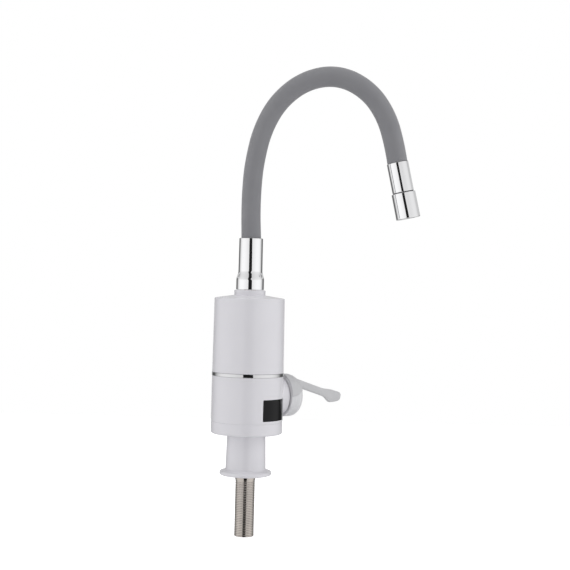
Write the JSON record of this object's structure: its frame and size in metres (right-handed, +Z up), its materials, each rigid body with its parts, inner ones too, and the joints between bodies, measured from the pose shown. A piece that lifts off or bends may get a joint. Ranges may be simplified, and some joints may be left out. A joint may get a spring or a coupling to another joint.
{
  "type": "electric instant water heater tap",
  "caption": "Deck-mounted instant water heater tap: round heater body with display, side lever valve, and a bendable swivel spout with aerator.",
  "frame": {"origin": "middle of the foot flange's underside, which rests on the deck; the inlet shank reaches below it through the deck's hole", "axes": "+Z up, along the shank and the heater body; at rest the spout reaches along +X; the display faces +X and -Y, and the handle +X and +Y"},
  "size_m": [0.221, 0.1057, 0.5061],
  "materials": {
    "white_shell": "glossy white moulded ABS with a slight cool tint",
    "white_lever": "glossy white moulded ABS",
    "grey_lever": "satin light grey moulded ABS",
    "chrome": "polished chrome plate",
    "shank_metal": "brushed warm nickel, threaded",
    "silicone": "matte grey silicone",
    "display_black": "glossy black tinted window",
    "brass": "plain machined brass",
    "steel": "plain stainless steel",
    "spring_steel": "drawn wire",
    "ceramic": "lapped alumina ceramic",
    "black_rubber": "matte black rubber",
    "valve_plastic": "dark glass filled nylon",
    "piston_plastic": "natural acetal with a magnet inside",
    "element_metal": "sheathed element, dull",
    "circuit_board": "green laminate",
    "relay_case": "blue case",
    "heat_sink_metal": "extruded aluminium",
    "black_component": "black moulded component",
    "terminal_plastic": "green terminal block",
    "sensor_metal": "stainless sheath",
    "insert_plastic": "pale acetal grid",
    "hose_plastic": "natural silicone hose"
  },
  "bodies": {
    "tap_body": {"inlet_shank": "shank_metal", "pedestal": "white_shell", "shank_nut": "brass", "bottom_cover": "white_shell", "lower_housing": "white_shell", "display_lens": "display_black", "trim_ring": "chrome", "upper_housing": "white_shell", "top_collar": "white_shell", "valve_body": "valve_plastic", "feed_pipe": "steel", "flow_spring": "spring_steel", "reed_switch": "black_component", "seat_seal": "black_rubber", "fixed_disc": "ceramic", "cartridge_body": "brass", "heater_tank": "steel", "tank_base": "steel", "heating_element": "element_metal", "temperature_sensor": "sensor_metal", "thermal_cutout": "black_component", "control_board": "circuit_board", "relay": "relay_case", "heat_sink": "heat_sink_metal", "power_triac": "black_component", "terminal_block": "terminal_plastic", "display_board": "circuit_board", "display_module": "black_component", "cable_grommet": "black_rubber"},
    "flow_piston": {"flow_piston": "piston_plastic"},
    "handle": {"handle_hub": "white_lever", "handle_lever": "grey_lever", "handle_screw": "steel", "screw_cap": "white_lever", "cartridge_spindle": "brass", "moving_disc": "ceramic"},
    "spout_base": {"swivel_stem": "brass", "stem_seal": "black_rubber", "stem_nut": "brass", "base_ferrule": "chrome", "silicone_sleeve": "silicone", "inner_hose": "hose_plastic", "neck_section_01": "steel"},
    "neck_02": {"neck_section_02": "steel"},
    "neck_03": {"neck_section_03": "steel"},
    "neck_04": {"neck_section_04": "steel"},
    "neck_05": {"neck_section_05": "steel"},
    "neck_06": {"neck_section_06": "steel"},
    "neck_07": {"neck_section_07": "steel"},
    "neck_08": {"neck_section_08": "steel"},
    "neck_09": {"neck_section_09": "steel"},
    "neck_10": {"neck_section_10": "steel", "outlet_ferrule": "chrome", "aerator_housing": "chrome", "aerator_gasket": "black_rubber", "aerator_insert": "insert_plastic"}
  },
  "joints": [
    {"name": "spout_swivel", "type": "hinge", "parent": "tap_body", "child": "spout_base", "pos_m": [0, 0, 0.199], "axis": [0, 0, 1], "continuous": true},
    {"name": "neck_flex_1", "type": "hinge", "parent": "spout_base", "child": "neck_02", "pos_m": [0, 0, 0.2886], "axis": [0, 1, 0], "range_deg": [-10, 3], "deforming": ["silicone_sleeve", "inner_hose"]},
    {"name": "neck_flex_2", "type": "hinge", "parent": "neck_02", "child": "neck_03", "pos_m": [0.0009, 0, 0.32298], "axis": [0, 1, 0], "range_deg": [-10, 3]},
    {"name": "neck_flex_3", "type": "hinge", "parent": "neck_03", "child": "neck_04", "pos_m": [0.00627, 0, 0.3569], "axis": [0, 1, 0], "range_deg": [-10, 3]},
    {"name": "neck_flex_4", "type": "hinge", "parent": "neck_04", "child": "neck_05", "pos_m": [0.01913, 0, 0.38871], "axis": [0, 1, 0], "range_deg": [-10, 3]},
    {"name": "neck_flex_5", "type": "hinge", "parent": "neck_05", "child": "neck_06", "pos_m": [0.0411, 0, 0.41491], "axis": [0, 1, 0], "range_deg": [-10, 3]},
    {"name": "neck_flex_6", "type": "hinge", "parent": "neck_06", "child": "neck_07", "pos_m": [0.07197, 0, 0.4293], "axis": [0, 1, 0], "range_deg": [-10, 3]},
    {"name": "neck_flex_7", "type": "hinge", "parent": "neck_07", "child": "neck_08", "pos_m": [0.10562, 0, 0.42546], "axis": [0, 1, 0], "range_deg": [-10, 3]},
    {"name": "neck_flex_8", "type": "hinge", "parent": "neck_08", "child": "neck_09", "pos_m": [0.13205, 0, 0.40406], "axis": [0, 1, 0], "range_deg": [-10, 3]},
    {"name": "neck_flex_9", "type": "hinge", "parent": "neck_09", "child": "neck_10", "pos_m": [0.1476, 0, 0.37354], "axis": [0, 1, 0], "range_deg": [-10, 3]},
    {"name": "handle_turn", "type": "hinge", "parent": "tap_body", "child": "handle", "pos_m": [0, 0, 0.0843], "axis": [0.8425, 0.5388, 0], "range_deg": [-90, 90]},
    {"name": "flow_piston_lift", "type": "slide", "parent": "tap_body", "child": "flow_piston", "axis": [0, 0, 1], "range_m": [0, 0.004], "stiffness_N_per_m": 50, "springref_m": -0.01, "deforming": ["flow_spring"]}
  ],
  "couplings": [
    {"joint": "neck_flex_2", "follows": "neck_flex_1", "ratio": 1},
    {"joint": "neck_flex_3", "follows": "neck_flex_1", "ratio": 1},
    {"joint": "neck_flex_4", "follows": "neck_flex_1", "ratio": 1},
    {"joint": "neck_flex_5", "follows": "neck_flex_1", "ratio": 1},
    {"joint": "neck_flex_6", "follows": "neck_flex_1", "ratio": 1},
    {"joint": "neck_flex_7", "follows": "neck_flex_1", "ratio": 1},
    {"joint": "neck_flex_8", "follows": "neck_flex_1", "ratio": 1},
    {"joint": "neck_flex_9", "follows": "neck_flex_1", "ratio": 1}
  ]
}
